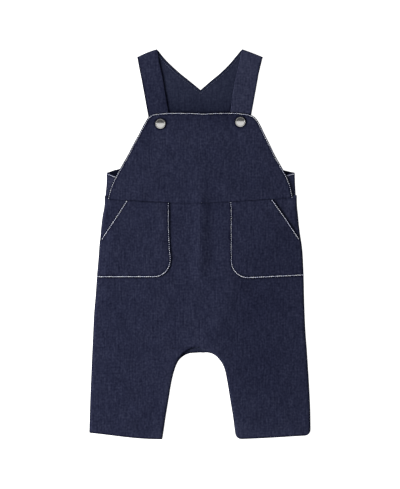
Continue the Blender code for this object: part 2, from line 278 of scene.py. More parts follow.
# Soft ridges, or troughs where the height is negative, along a line from a point across and up to another.
Fold = namedtuple("Fold", "from_across from_up to_across to_up width height")
FRONT_FOLDS = (
    Fold(1, 52, 0.5, -34, 9, 1.8),  # over the centre front seam, below the waist
    Fold(-1, 96, 0, 60, 9, 0.7),  # and above it
    Fold(16, 45, 13, -20, 6, -0.4),  # beside it
    Fold(-48, 40, -46, -10, 8, 0.6),  # inside the left pocket's edge
    Fold(-60, -60, -86, -120, 16, 0.5),  # down the left leg
    Fold(-106, 20, -112, -60, 9, 0.5),
    Fold(-30, -95, -14, -112, 10, 0.5),  # pulls up from the crotch
    Fold(28, -90, 12, -112, 10, 0.5),
    Fold(90, 20, 30, -50, 18, 0.9),  # across the right leg
    Fold(30, -50, 20, -125, 16, 0.9),
    Fold(-66, 134, -58, 112, 10, -0.4),  # below the studs
    Fold(40, 132, 44, 112, 11, -0.4),
)

# Slight unevenness all over: waves of these lengths and heights, in directions that the fixed seed picks.
Ripple = namedtuple("Ripple", "length height count")
RIPPLES = (Ripple(34, 0.10, 7), Ripple(17, 0.035, 9))
RIPPLE_SPREAD = (0.7, 1.4)  # the shortest and the longest of the waves, as shares of that length
RIPPLE_SEED = 11
PUCKERS = (Ripple(7, 0.05, 7),)  # beside the sewn lines
PUCKER_SEED = 5
PUCKER_HALF = 4.0

# Painted light and shade: where the cloth is made lighter or darker than the rest, by a share of its own
# colour, along a line as a fold is.
Shade = namedtuple("Shade", "from_across from_up to_across to_up width share")
LEG_SHADES = (
    # where seams meet at the sides of the waist, and beside the pockets' mouths
    Shade(-112, 52, -108, 49, 5, 0.2),
    Shade(113, 52, 109, 49, 5, 0.4),
    Shade(-92, 50, -96, 44, 4, 0.14),
    Shade(-106, 40, -112, 27, 6.5, -0.22),
    Shade(106, 47, 104, 28, 6, 0.12),
    Shade(84, 46, 102, 24, 8, 0.07),
    # down the pockets' inner edges, and on below them
    Shade(-48, 46, -47, 10, 5, 0.16),
    Shade(-48, 46, -42, -140, 6, 0.08),
    Shade(36, -32, 36, -60, 9, 0.2),
    # painted lighter along the side seams
    Shade(119, 6, 121, -14, 4, 0.16),
    Shade(-122, -40, -127, -120, 5, 0.1),
    Shade(-130, -165, -131, -205, 4, 0.15),
    # over the centre seam, down to the crotch
    Shade(0, 50, 0, 36, 6, 0.12),
    Shade(1, 14, 0, -36, 6, 0.09),
    Shade(-5, -26, -6, -76, 9, 0.1),
    Shade(-4, -104, -4, -122, 20, 0.12),
    Shade(-8, -118, 0, -121, 5, 0.1),
    # broad painted shade on the legs, and a painted lighter place between them
    Shade(-96, -70, -100, -180, 12, -0.11),
    Shade(104, 5, 66, -45, 26, -0.1),
    Shade(76, -70, 72, -150, 36, -0.17),
    Shade(60, -178, 60, -216, 7, 0.12),
    # along the inseams, with the crease that runs out on the left one
    Shade(-35, -146, -41, -192, 5, 0.28),
    Shade(22, -130, 34, -142, 4, 0.12),
    Shade(-26.5, -137.6, -19, -131.4, 1.6, -0.7),
    # and along the hems
    Shade(-112, -230, -100, -232, 5, 0.14),
    Shade(-60, -232, -48, -228, 6, 0.25),
    Shade(-52, -232, -46, -228, 5, 0.25),
    Shade(47, -218, 64, -226, 8, 0.26),
    Shade(46, -222, 52, -234, 5, 0.34),
    Shade(92, -222, 120, -219, 7, 0.2),
    Shade(84, -229, 118, -226, 4, 0.26),
)
BACK_SHADES = (
    # below the crease at the crotch: painted lighter strips between painted shade along the crease and along
    # the edge
    Shade(-17, -129.4, -9, -126.4, 2, 0.7),
    Shade(-26.5, -137.6, -19, -131.4, 1.7, -0.8),
    Shade(-14, -129.8, -2, -129.2, 1.3, -1),
    Shade(0, -129.6, 22, -135.6, 1.3, -0.4),
    Shade(0, -127.5, 12, -129.5, 3, 0.25),
)
BIB_SHADES = (
    # painted shade under the top edge and beside the studs
    Shade(-42, 154, 34, 154, 4, -0.15),
    Shade(-44, 150, -10, 152, 6, -0.1),
    Shade(12, 152, 42, 150, 8, -0.16),
    Shade(-61, 150, -62, 136, 5, -0.3),
    Shade(-70, 138, -64, 122, 8, -0.14),
    # painted lighter across the chest, down the sides and over the centre of the waist
    Shade(-44, 128, -6, 122, 9, 0.12),
    Shade(0, 131, 36, 119, 7, 0.08),
    Shade(-44, 105, -40, 90, 12, 0.06),
    Shade(68, 124, 78, 96, 6, 0.08),
    Shade(-82, 109, -85, 98, 4, 0.25),
    Shade(-101, 76, -100, 56, 6, 0.12),
    Shade(0, 68, 0, 52, 6, 0.12),
)
INSIDE_SHADES = (Shade(42, 178, 36, 158, 4, -0.35),)  # painted shadow low down beside the right strap
BIB_TONE = 1.05
STRAP_PAINTED_LIGHT = pair(0.84, 1.5)  # painted light on each strap by the bib, where the studs hold the straps at different slants to the light
# Painted light on each strap at the shoulder.
STRAP_SHOULDER_PAINTED_LIGHT = pair(1.2, 1.72)
# Painted light on the side wraps: the left one, which faces the light, made the lighter.
WRAP_PAINTED_LIGHT = pair(1.6, 1.15)
INSIDE_TONE = 1.15
NECK_PALE = 0.1  # how much paler the inside is along the turned neck edge
NECK_PALE_HALF = 6.0
# Painted shade on the back's inside, down behind the bib and above its top edge, and the height over which it
# fades.
BEHIND_BIB_PAINTED_SHADE = 0.64
BEHIND_BIB_FADES = 48.0
# Painted shade along the straps' inner edges, painted lighter where it is below 0, and the straps' painted
# shadows on the back's inside beside them, with their widths.
STRAP_INNER_EDGE_DARK = pair(0.3, -0.1)
STRAP_SHADOW_DARK = pair(0.93, 0.3)
STRAP_SHADOW_HALF = pair(2, 1.7)
# Painted shade in the ends of the armholes, on the back's inside by the side wraps: how light the cloth is
# made there, below what height it lies and over what height it fades.
ARMHOLE_END_PAINTED_SHADE = 0.12
ARMHOLE_END_TOP = 110.0
ARMHOLE_END_FADES = 10.0
EDGE_PAINTED_SHADE = 0.8  # painted shade along a piece's edge, where the cloth rolls away from the light
EDGE_HALF = 1.15
# Painted shade by the waist seam.
WAIST_SEAM_PAINTED_SHADE = 0.3
# Painted shadow along the crease at the crotch, and its width.
CREASE_DARK = 0.97
CREASE_HALF = 1.2
POCKET_SHADOW_DARK = 0.45
POCKET_SHADOW_HALF = 1.3

# ---------------------------------------------------------------- sewing

STITCH_PITCH = 2.43
STITCH_ACROSS = 2.8  # the length that shows of a stitch that crosses the warp
STITCH_ALONG = 1.32  # and of one along it, which sinks in between the yarns
STITCH_WIDTH = 0.62
POCKET_STITCH_WIDTH = 0.8
STITCH_RISE = 0.25
STITCH_SUNK = 0.05
STITCH_TIP = 0.004  # its thickness at the ends, squared, as a share of the middle's
STITCH_RINGS = 7
STITCH_SIDES = 8
STITCH_INSET = 1.25  # from the edge of the piece
BIB_STITCH_INSET = 0.9
MOUTH_STITCHES_END = 1.4  # before the side seam
NECK_STITCH_INSET = 3.0
NECK_STITCH_SHADE = 0.25  # how much of the usual painted shade beside stitches the fine navy thread's line has
FURROW_DEPTH = 0.28  # of the line that the stitches pull into the cloth
FURROW_HALF = 0.8
# Painted shade in the furrow beside the stitches, and its width.
FURROW_DARK = 0.85
FURROW_DARK_HALF = 1.9


def outward(side):
    """The direction across, away from the middle."""
    return -1 if side == "left" else 1


def points_of(rows, side):
    """A table's points on one side."""
    return [(getattr(row, side), row.up) for row in rows]


def smooth(points):
    """A smooth curve through the points."""
    p = np.array(points, float)
    if len(p) == 2:
        return p
    ends = np.vstack([2 * p[0] - p[1], p, 2 * p[-1] - p[-2]])
    t = np.linspace(0, 1, CURVE_STEPS, endpoint=False)[:, None]
    spans = []
    for a, b, c, d in zip(ends, ends[1:], ends[2:], ends[3:]):
        cubic = 3 * b - a - 3 * c + d
        spans.append(b + ((c - a) * t + (2 * a - 5 * b + 4 * c - d) * t**2 + cubic * t**3) / 2)
    return np.vstack([*spans, p[-1:]])


def curve_of(rows, side):
    return smooth(points_of(rows, side))


def lengths_along(curve):
    steps = np.linalg.norm(np.diff(curve, axis=0), axis=1)
    return np.concatenate([[0], np.cumsum(steps)])


def along(curve, places):
    """The curve's points at those shares of its length."""
    reached = lengths_along(curve)
    at = np.asarray(places) * reached[-1]
    return np.stack([np.interp(at, reached, curve[:, k]) for k in range(curve.shape[1])], axis=1)


def places(length, close_start=False, close_end=False, step=STEP):
    """Shares from 0 to 1 along a length, about a step apart, and closer together at an end that asks for
    it."""
    start = [0.0, *CLOSE_STEPS] if close_start else [0.0]
    end = [length, *(length - close for close in CLOSE_STEPS)] if close_end else [length]
    low, high = max(start), min(end)
    between = np.linspace(low, high, max(2, round((high - low) / step) + 1))
    return np.unique(np.round(np.concatenate([start, between, end]), 4)) / length


def arc(before, tip, after, radius):
    """The arc that rounds off the corner at tip."""
    before, tip, after = (np.array(p, float) for p in (before, tip, after))
    back = (before - tip) / np.linalg.norm(before - tip)
    on = (after - tip) / np.linalg.norm(after - tip)
    half = math.acos(np.clip(back @ on, -1, 1)) / 2
    middle = tip + (back + on) / np.linalg.norm(back + on) * radius / math.sin(half)
    start = tip + back * radius / math.tan(half) - middle
    end = tip + on * radius / math.tan(half) - middle
    turn = math.pi - 2 * half
    steps = np.linspace(0, turn, CORNER_STEPS + 1)[:, None]
    return middle + (np.sin(turn - steps) * start + np.sin(steps) * end) / math.sin(turn)


def drawn_in(curve, towards, by=EDGE_INSET):
    """The curve moved sideways, to the side on which the point lies."""
    run = np.gradient(curve, axis=0)
    sideways = np.stack([-run[:, 1], run[:, 0]], axis=1) / np.linalg.norm(run, axis=1)[:, None]
    middle = len(curve) // 2
    if (np.array(towards) - curve[middle]) @ sideways[middle] < 0:
        sideways = -sideways
    return curve + by * sideways


def moved_up(grid, by):
    return grid + np.stack([np.zeros_like(by), by], axis=-1)


def rule(bands, columns):
    """Rows of points across a panel. A band has two edges, and the shares of them at which its rows lie."""
    rows = []
    for first, second, shares in bands:
        ends = zip(along(first, shares), along(second, shares))
        made = [a + (b - a) * columns[:, None] for a, b in ends]
        rows += made[1:] if rows else made
    return np.array(rows)


def dipped(grid):
    """The grid with the waist seam's dip."""
    across, up = grid[..., 0], grid[..., 1]
    middle = 1 - np.clip(np.abs(across - WAIST_DIP_MIDDLE) / WAIST_DIP_HALF, 0, 1) ** 1.5
    near = np.clip(1 - np.abs(up - WAIST_UP) / WAIST_DIP_FADES, 0, 1)
    return moved_up(grid, -WAIST_DIP * middle * near)


def clear_of_seam(grid, direction):
    """The grid with its end at the waist seam moved back, so that its rounded edge just laps the other
    piece's."""
    near = np.clip(1 - np.abs(grid[..., 1] - WAIST_UP) / SEAM_EASE, 0, 1)
    return moved_up(grid, direction * (HALF - SEAM_LAP / 2) * near)


def bump(away, width):
    """1 on a line, fading to nothing at about twice the width from it."""
    return np.exp(-((away / width) ** 2))


def darkened(away, dark, width):
    """How light cloth is made by the painted shade of an edge or a crease that is that far away."""
    return 1 - dark * bump(away, width)


def distance_to(curve, across, up):
    """How far each point is from the curve."""
    seen = along(curve, np.linspace(0, 1, max(2, round(lengths_along(curve)[-1] / SEEN_STEP))))
    points = np.stack([across, up], axis=-1).reshape(-1, 2)
    nearest = [
        np.hypot(block[:, None, 0] - seen[:, 0], block[:, None, 1] - seen[:, 1]).min(axis=1)
        for block in np.array_split(points, max(1, len(points) // SEEN_AT_ONCE))
    ]
    return np.concatenate(nearest).reshape(np.shape(across))


def nearest_of(curves, across, up):
    return np.min([distance_to(curve, across, up) for curve in curves], axis=0)


def along_lines(lines, across, up):
    """The sum of the folds or shades in a table: each one's last column, fading away from its line."""
    total = np.zeros_like(across)
    for from_across, from_up, to_across, to_up, width, amount in lines:
        run = np.array([to_across - from_across, to_up - from_up])
        share = ((across - from_across) * run[0] + (up - from_up) * run[1]) / (run @ run)
        share = np.clip(share, 0, 1)
        away = np.hypot(across - from_across - share * run[0], up - from_up - share * run[1])
        total += amount * bump(away, width)
    return total


def ripples_at(across, up, ripples, seed):
    """The sum of the waves in a table, each with its own direction."""
    pick = np.random.RandomState(seed)
    total = np.zeros_like(across)
    for ripple in ripples:
        for _ in range(ripple.count):
            heading, phase = pick.uniform(0, math.tau, 2)
            length = ripple.length * pick.uniform(*RIPPLE_SPREAD)
            run = across * math.cos(heading) + up * math.sin(heading)
            total += ripple.height * np.sin(math.tau * run / length + phase)
    return total


# ---------------------------------------------------------------- how high each panel of the front lies


def loose(across, up):
    """The folds and ripples of cloth that lies free."""
    return along_lines(FRONT_FOLDS, across, up) + ripples_at(across, up, RIPPLES, RIPPLE_SEED)


def puckered(across, up, sewn_lines):
    """The small puckers that the stitches draw up beside them."""
    near = bump(nearest_of(sewn_lines, across, up), PUCKER_HALF)
    return near * ripples_at(across, up, PUCKERS, PUCKER_SEED)


def waist_seam():
    """The line of the waist seam."""
    across = np.linspace(-WAIST_HALF, WAIST_HALF, WAIST_STEPS)
    return dipped(np.stack([across, np.full_like(across, WAIST_UP)], axis=-1))


def sunk_at_waist(height, across, up):
    return height - SEAM_SINK * bump(distance_to(waist_seam(), across, up), SEAM_SINK_HALF)


def leg_outline(side):
    """The side seam and the inseam of a leg, down to the hem, whose outer end has its own height."""
    tip = (getattr(SIDE_SEAM[-1], side), HEM_TIP[side])
    return smooth([*points_of(SIDE_SEAM[:-1], side), tip]), curve_of(INSEAM, side)


def leg_height(across, up, side):
    """The middle of a front leg's cloth."""
    near_bib = np.clip(1 - (WAIST_UP - up) / WAIST_DIP_FADES, 0, 1)
    height = LEG_MID + (BIB_MID - LEG_MID) * near_bib**2 * (3 - 2 * near_bib)
    near_corner = np.clip(1 - (WAIST_UP - up) / CORNER_FADES, 0, 1)
    low = SEAM_MID + (CORNER_MID - SEAM_MID) * near_corner
    for edge in leg_outline(side):
        height = height - (height - low) * bump(distance_to(edge, across, up), SEAM_ROLL)
    height = height + loose(across, up) + puckered(across, up, [waist_seam()])
    return sunk_at_waist(height, across, up)


def stud_place(side):
    """The middle of a stud, across and up."""
    low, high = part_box(f"stud_{side}")
    return (low.x + high.x) / 2 / MM, (low.y + high.y) / 2 / MM


def from_studs(across, up):
    """How far each point is from the nearer stud's middle."""
    return np.min([np.hypot(across - x, up - y) for x, y in map(stud_place, SIDES)], axis=0)


def bib_height(across, up):
    """The middle of the bib's cloth, which sinks over the hollow of the back and is flat by the studs."""
    sunk = bump(across, BIB_SINK_HALF_WIDTH) * bump(up - BIB_SINK_UP, BIB_SINK_HALF_HEIGHT)
    held = bump(from_studs(across, up), STUD_HOLDS_FLAT)
    free = loose(across, up) + puckered(across, up, [bib_outline(BIB_STITCH_INSET)])
    height = BIB_MID - BIB_SINK * sunk + free * (1 - held) - STUD_DIMPLE * held
    return sunk_at_waist(height, across, up)


# ---------------------------------------------------------------- cloth as meshes

# One stretch of a piece: the middle of its wall as rows of points, where each point lies on the cut cloth
# before it is folded, and how light the cloth is there.
Stretch = namedtuple("Stretch", "points flat tone")


def at_height(grid, height):
    """The grid with a height for each point, or one for all."""
    heights = np.broadcast_to(np.asarray(height, float), grid.shape[:2])
    return np.concatenate([grid, heights[..., None]], axis=2)


def stretch(points, tone, flat=None):
    """A stretch that lies as it was cut, unless its flat points are given."""
    points = np.asarray(points, float)
    flat = points[..., :2] if flat is None else flat
    return Stretch(points, flat, np.broadcast_to(tone, points.shape[:2]))


def middle_surface(stretches):
    """The stretches welded into one open surface, whose first face looks up."""
    mesh = bmesh.new()
    flat_layer = mesh.verts.layers.float_vector.new("flat")
    tone_layer = mesh.verts.layers.float.new("tone")
    for piece in stretches:
        verts = []
        for points, flats, tones in zip(piece.points, piece.flat, piece.tone):
            row = []
            for point, flat, tone in zip(points, flats, tones):
                vert = mesh.verts.new(point)
                vert[flat_layer] = Vector((*flat, 0.0))
                vert[tone_layer] = tone
                row.append(vert)
            verts.append(row)
        for low, high in zip(verts, verts[1:]):
            for a, b, c, d in zip(low, low[1:], high[1:], high):
                mesh.faces.new((a, b, c, d))
    mesh.faces.ensure_lookup_table()
    first = mesh.faces[0].calc_center_median()
    bmesh.ops.remove_doubles(mesh, verts=mesh.verts, dist=WELD)
    bmesh.ops.recalc_face_normals(mesh, faces=mesh.faces)
    nearest = min(mesh.faces, key=lambda face: (face.calc_center_median() - first).length)
    if nearest.normal.z < 0:
        bmesh.ops.reverse_faces(mesh, faces=mesh.faces)
    mesh.normal_update()
    mesh.verts.index_update()
    mesh.verts.ensure_lookup_table()
    return mesh, flat_layer, tone_layer


def edge_directions(mesh):
    """For each point on the edge of an open surface, the direction out of it."""
    out = {}
    for edge in mesh.edges:
        if not edge.is_boundary:
            continue
        face = edge.link_faces[0]
        a, b = edge.verts
        direction = (b.co - a.co).cross(face.normal).normalized()
        if direction.dot(face.calc_center_median() - a.co) > 0:
            direction.negate()
        for vert in edge.verts:
            out[vert.index] = out.get(vert.index, Vector()) + direction
    return {index: direction.normalized() for index, direction in out.items()}


def add_object(name, data):
    thing = bpy.data.objects.new(name, data)
    bpy.context.scene.collection.objects.link(thing)
    return thing


def finished(name, mesh, material):
    """The mesh's data, in one material."""
    data = bpy.data.meshes.new(name)
    mesh.to_mesh(data)
    mesh.free()
    data.materials.append(material)
    return data


def add_mesh_piece(name, points, faces, materials):
    """A smooth mesh object, from points in millimetres."""
    data = bpy.data.meshes.new(name)
    data.from_pydata(np.array(points) * MM, [], faces)
    for material in materials:
        data.materials.append(material)
    data.shade_smooth()
    piece = add_object(name, data)
    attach(piece, "root")
    return piece


def encoded(light):
    """A share of full light as a share of the sRGB scale."""
    powered = 1.055 * np.maximum(light, 0) ** (1 / 2.4) - 0.055
    return np.where(light <= 0.0031308, 12.92 * light, powered)


def decoded(value):
    """The other way round."""
    return np.where(value <= 0.04045, value / 12.92, ((value + 0.055) / 1.055) ** 2.4)


def shade_of(tone):
    """How far along the denim's scale of colours cloth lies that is so many times as light as the middle one:
    -1 for the darkest, 1 for the palest."""
    return (encoded(tone * decoded(DENIM_MIDDLE)) - DENIM_MIDDLE) / DENIM_REACH


def rounded_rim(mesh, points, sources):
    """Adds the points that round the wall's edge off, and gives the ring of them at each point of that edge,
    from the upper side to the lower one. sources says which point of the middle each one comes from."""
    rings = {}
    for index, direction in edge_directions(mesh).items():
        vert = mesh.verts[index]
        rings[index] = [index]
        for turn in np.linspace(0, math.pi, RIM_STEPS + 1)[1:-1]:
            rings[index].append(len(points))
            points.append(vert.co + (vert.normal * math.cos(turn) + direction * math.sin(turn)) * HALF)
            sources.append(index)
        rings[index].append(index + len(mesh.verts))
    return rings


def wall_faces(mesh, rings, outer):
    """The faces of the wall's two sides and its rim, and which of the two finishes each of them has."""
    faces, finishes = [], []
    for face in mesh.faces:
        corners = [vert.index for vert in face.verts]
        faces += [corners, [index + len(mesh.verts) for index in reversed(corners)]]
        finishes += [0, 1]
    for edge in mesh.edges:
        if not edge.is_boundary:
            continue
        loop = edge.link_loops[0]
        a, b = rings[loop.vert.index], rings[loop.link_loop_next.vert.index]
        for high_a, low_a, high_b, low_b in zip(a, a[1:], b, b[1:]):
            faces.append([low_a, low_b, high_b, high_a])
            finishes.append(outer)
    return faces, finishes


def shell(name, stretches, materials, outer=0):
    """A closed wall of cloth with rounded edges. materials are its upper and lower finish, and outer says
    which of them goes round its edge."""
    mesh, flat_layer, tone_layer = middle_surface(stretches)
    points = [vert.co + vert.normal * away for away in (HALF, -HALF) for vert in mesh.verts]
    sources = list(range(len(mesh.verts))) * 2
    faces, finishes = wall_faces(mesh, rounded_rim(mesh, points, sources), outer)
    flats = np.array([mesh.verts[index][flat_layer] for index in sources]) * MM
    shades = shade_of(np.array([mesh.verts[index][tone_layer] for index in sources]))
    mesh.free()
    piece = add_mesh_piece(name, points, faces, materials)
    piece.data.attributes.new("flat", "FLOAT_VECTOR", "POINT").data.foreach_set("vector", flats.ravel())
    piece.data.attributes.new("shade", "FLOAT", "POINT").data.foreach_set("value", shades)
    piece.data.polygons.foreach_set("material_index", finishes)
    return piece


def lay(node):
    """The cloth stands for its node, which is hidden."""
    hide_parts(node)


# ---------------------------------------------------------------- topstitching


def stitch_shape(width):
    """One stitch along X, 1 long: it rises out of the cloth, runs over it and dives in again."""
    rings = []
    for share in np.linspace(-1, 1, STITCH_RINGS):
        radius = width / 2 * max(1 - abs(share) ** 3, STITCH_TIP) ** 0.5
        height = STITCH_RISE * (1 - share**2) - STITCH_SUNK
        angles = np.linspace(0, math.tau, STITCH_SIDES, endpoint=False)
        rings.append([
            (share / 2, radius * math.cos(angle), height + radius * math.sin(angle))
            for angle in angles
        ])
    return np.array(rings)


def stitch_faces(start):
    """The faces of a stitch whose first point has that number."""
    faces = [tuple(start + s for s in reversed(range(STITCH_SIDES)))]
    for k in range(STITCH_RINGS - 1):
        for s in range(STITCH_SIDES):
            a = start + k * STITCH_SIDES + s
            b = start + k * STITCH_SIDES + (s + 1) % STITCH_SIDES
            faces.append((a, b, b + STITCH_SIDES, a + STITCH_SIDES))
    last = start + (STITCH_RINGS - 1) * STITCH_SIDES
    faces.append(tuple(last + s for s in range(STITCH_SIDES)))
    return faces


def stitched(name, lines, height_at, thread, width=STITCH_WIDTH):
    """Topstitching along lines across and up, on a surface whose height the function gives."""
    shape = stitch_shape(width).reshape(-1, 3)
    points, faces = [], []
    for line in lines:
        length = lengths_along(line)[-1]
        count = max(1, round(length / STITCH_PITCH))
        middles = (np.arange(count) + 0.5) / count
        half = STITCH_PITCH / 2 / length
        here = along(line, middles)
        run = along(line, np.clip(middles + half, 0, 1)) - along(line, np.clip(middles - half, 0, 1))
        run /= np.linalg.norm(run, axis=1)[:, None]
        heights = height_at(here[:, 0], here[:, 1]) + HALF - FURROW_DEPTH
        for (across, up), (run_x, run_y), height in zip(here, run, heights):
            shows = STITCH_ALONG + (STITCH_ACROSS - STITCH_ALONG) * abs(run_x)
            faces += stitch_faces(len(points))
            for x, y, z in shape * (shows, 1, 1):
                points.append((across + x * run_x - y * run_y, up + x * run_y + y * run_x, height + z))
    piece = add_mesh_piece(name, points, faces, (thread,))
    return piece


def furrow(lines, across, up):
    """How deep the stitches pull the cloth in."""
    return FURROW_DEPTH * bump(nearest_of(lines, across, up), FURROW_HALF)


def beside_stitches(lines, across, up):
    """The painted shade in the furrow: how light the cloth is made there."""
    return darkened(nearest_of(lines, across, up), FURROW_DARK, FURROW_DARK_HALF)


# ---------------------------------------------------------------- the pieces


def lifted_off_crotch(across):
    """How far the trouser fronts' edge at the crotch has ridden up."""
    return np.interp(across, [lift.across for lift in CROTCH_LIFTS], [lift.by for lift in CROTCH_LIFTS])


def front_inseam(side):
    inseam = leg_outline(side)[1]
    return moved_up(inseam, lifted_off_crotch(inseam[:, 0]))


def crease_shadow(across, up):
    """The painted shadow on both sides of the crease at the crotch, which runs along the front's edge: how
    light the cloth is made there.
    """
    front = front_inseam("left")
    crease = front[(front[:, 0] > CROTCH_LIFTS[0].across) & (front[:, 0] < CREASE_END)]
    fading = np.clip((CREASE_END - across) / CREASE_FADES, 0, 1)
    return darkened(distance_to(crease, across, up), CREASE_DARK * fading, CREASE_HALF)


def leg_grid(side, inseam):
    """One leg: side seam to centre seam down to the crotch, then side seam to inseam down to the hem."""
    seam = leg_outline(side)[0]
    inside = (outward(side) * LEG_INSIDE, CROTCH_UP)
    radius = HEM_CORNER[side]
    outer = arc(seam[-2], seam[-1], inseam[-1], radius)
    inner = arc(inseam[-2], inseam[-1], seam[-1], radius)
    seam = drawn_in(np.vstack([[p for p in seam if p[1] > outer[0][1]], outer]), inside)
    inseam = drawn_in(np.vstack([[p for p in inseam if p[1] > inner[0][1]], inner]), inside)
    centre = np.array(points_of(CENTRE_SEAM, side)) + [outward(side) * (HALF - CENTRE_LAP / 2), 0]
    centre[-1, 1] = inseam[0, 1]
    inseam[0] = centre[-1]
    corner_at = len(seam) - CORNER_STEPS - 1, len(inseam) - CORNER_STEPS - 1
    split = int(np.argmin(np.abs(seam[:, 1] - CROTCH_UP)))
    above = WAIST_UP - CROTCH_UP
    below = CROTCH_UP - seam[-1, 1]
    bands = (
        (seam[: split + 1], centre, places(above, close_start=True)),
        (seam[split : corner_at[0] + 1], inseam[: corner_at[1] + 1], places(below, close_end=True)),
        (seam[corner_at[0] :], inseam[corner_at[1] :], np.linspace(0, 1, CORNER_STEPS + 1)),
    )
    columns = places(LEG_WIDTH, True, True)
    grid = clear_of_seam(rule(bands, columns), -1)
    down = np.clip((CROTCH_UP - grid[..., 1]) / below, 0, 1)
    return dipped(moved_up(grid, -HEM_BOW[side] * np.sin(np.pi * columns**1.5) * down**4))


def corners_raised(grid):
    """The upper outer corner of a trouser front stands up past the waist seam, on the side wrap."""
    over = np.clip((np.abs(grid[..., 0]) - CORNER_FROM) / CORNER_OVER, 0, 1)
    near = np.clip(1 - (WAIST_UP - grid[..., 1]) / CORNER_FADES, 0, 1)
    return moved_up(grid, CORNER_RISE * over**2 * near)


def above_hem(grid):
    """How far each point is above the hem."""
    hem = grid[-1]
    order = np.argsort(hem[:, 0])
    return grid[..., 1] - np.interp(grid[..., 0], hem[order, 0], hem[order, 1])


def by_waist_seam(across, up):
    """The painted shade by the waist seam: how light the cloth is made there."""
    return darkened(distance_to(waist_seam(), across, up), WAIST_SEAM_PAINTED_SHADE, SEAM_SINK_HALF)


def front_leg(side, denim, inside):
    inseam = front_inseam(side)
    grid = corners_raised(leg_grid(side, inseam))
    across, up = grid[..., 0], grid[..., 1]
    hem = above_hem(grid)
    turned_up = np.clip(1 + (HEM_DEPTH - hem) / HEM_RAMP, 0, 1)
    height = leg_height(across, up, side) + HEM_LIFT * turned_up
    inner_edge = inseam[lifted_off_crotch(inseam[:, 0]) == 0]
    away = np.minimum(nearest_of([leg_outline(side)[0], inner_edge], across, up), hem)
    # Painted shade along the edges, in the crease, by the waist seam and beside the pocket, with the table's
    # painted light and shade.
    tone = darkened(away, EDGE_PAINTED_SHADE, EDGE_HALF) * (1 + along_lines(LEG_SHADES, across, up))
    tone *= crease_shadow(across, up) * by_waist_seam(across, up)
    from_pocket = nearest_of(pocket_shadow_lines(side), across, up)
    tone *= darkened(from_pocket, POCKET_SHADOW_DARK, POCKET_SHADOW_HALF)
    cloth = [stretch(at_height(grid, height), tone)]
    piece = shell(f"front_leg_{side}_cloth", cloth, (denim, inside))
    lay(f"front_leg_{side}")


def back_leg(side, denim, inside):
    grid = leg_grid(side, leg_outline(side)[1])
    across, up = grid[..., 0], grid[..., 1]
    # Painted shadow of the crease, the table's painted light and shade, and painted shade along the inseam.
    tone = crease_shadow(across, up) * (1 + along_lines(BACK_SHADES, across, up))
    tone *= darkened(distance_to(leg_outline(side)[1], across, up), EDGE_PAINTED_SHADE, EDGE_HALF)
    cloth = [stretch(at_height(grid, BACK_MID), tone)]
    piece = shell(f"back_leg_{side}_cloth", cloth, (inside, denim), outer=1)
    lay(f"back_leg_{side}")


def bib_side(side):
    """The bib's side with its rounded corner, from the waist up to where its top edge starts."""
    points = points_of(BIB_SIDE, side)
    rounded = arc(points[-2], points[-1], (0, BIB_TOP), BIB_CORNER[side])
    return np.vstack([[p for p in smooth(points) if p[1] < rounded[0][1]], rounded])


def sagged(grid):
    """The grid with the sags of the bib's top edge, between the straps and over the studs."""
    near_top = np.clip(1 - (BIB_TOP - grid[..., 1]) / BIB_TOP_SAG_FADES, 0, 1) ** 2
    total = sum(sag.by * bump(grid[..., 0] - sag.across, sag.half_width) for sag in BIB_TOP_SAGS)
    return moved_up(grid, -total * near_top)


def bib_outline(by):
    """The bib's edge from the left end of the waist seam, up and over to the right end."""
    left, right = (drawn_in(bib_side(side), BIB_INSIDE, by) for side in SIDES)
    across_top = np.linspace(left[-1], right[-1], BIB_TOP_STEPS)
    return sagged(dipped(np.vstack([left, across_top[1:-1], right[::-1]])))


def bib(denim, inside, thread):
    left, right = (drawn_in(bib_side(side), BIB_INSIDE) for side in SIDES)
    top = left[-1, 1]
    rows = WAIST_UP + places(top - WAIST_UP, True, True, BIB_STEP) * (top - WAIST_UP)
    ends = [np.stack([np.interp(rows, edge[:, 1], edge[:, 0]), rows], axis=1) for edge in (left, right)]
    columns = places(BIB_WIDTH, True, True, BIB_STEP)
    grid = np.array([a + (b - a) * columns[:, None] for a, b in zip(*ends)])
    grid = sagged(dipped(clear_of_seam(grid, 1)))
    across, up = grid[..., 0], grid[..., 1]
    sewn_line = bib_outline(BIB_STITCH_INSET)
    height = bib_height(across, up) - furrow([sewn_line], across, up)
    # The table's painted light and shade, with painted shade along the edges, in the stitches' furrow, by the
    # waist seam and round the studs.
    tone = BIB_TONE * (1 + along_lines(BIB_SHADES, across, up))
    tone *= darkened(distance_to(bib_outline(0.0), across, up), EDGE_PAINTED_SHADE, EDGE_HALF)
    tone *= beside_stitches([sewn_line], across, up) * by_waist_seam(across, up)
    tone *= darkened(from_studs(across, up) - STUD_RING_RADIUS, STUD_RING_DARK, STUD_RING_HALF)
    cloth = [stretch(at_height(grid, height), tone)]
    piece = shell("bib_cloth", cloth, (denim, inside))
    sewn = stitched("bib_topstitching", [sewn_line], bib_height, thread)
    lay("bib")


def pocket_outline(side):
    """The pocket's mouth, the rest of its outer edge down to the bottom, and its inner edge."""
    seam = leg_outline(side)[0]
    mouth = curve_of(POCKET_MOUTH, side)
    end_up = POCKET_END_UP[side]
    end = (np.interp(end_up, seam[::-1, 1], seam[::-1, 0]), end_up)
    below = np.array([mouth[-1], *(p for p in seam if end_up < p[1] < mouth[-1][1]), end])
    tip = (POCKET_TIP[side], POCKET_TIP_UP[side])
    inner = curve_of(POCKET_INNER, side)
    inner = np.vstack([inner, arc(inner[-1], tip, end, POCKET_CORNER)])
    return mouth, below, inner


def pocket_edges(side):
    """The mouth, the outer edge below it, the inner edge and the bottom, as they lie."""
    mouth, below, inner = pocket_outline(side)
    return dipped(mouth), below, dipped(inner), np.array([below[-1], inner[-1]])


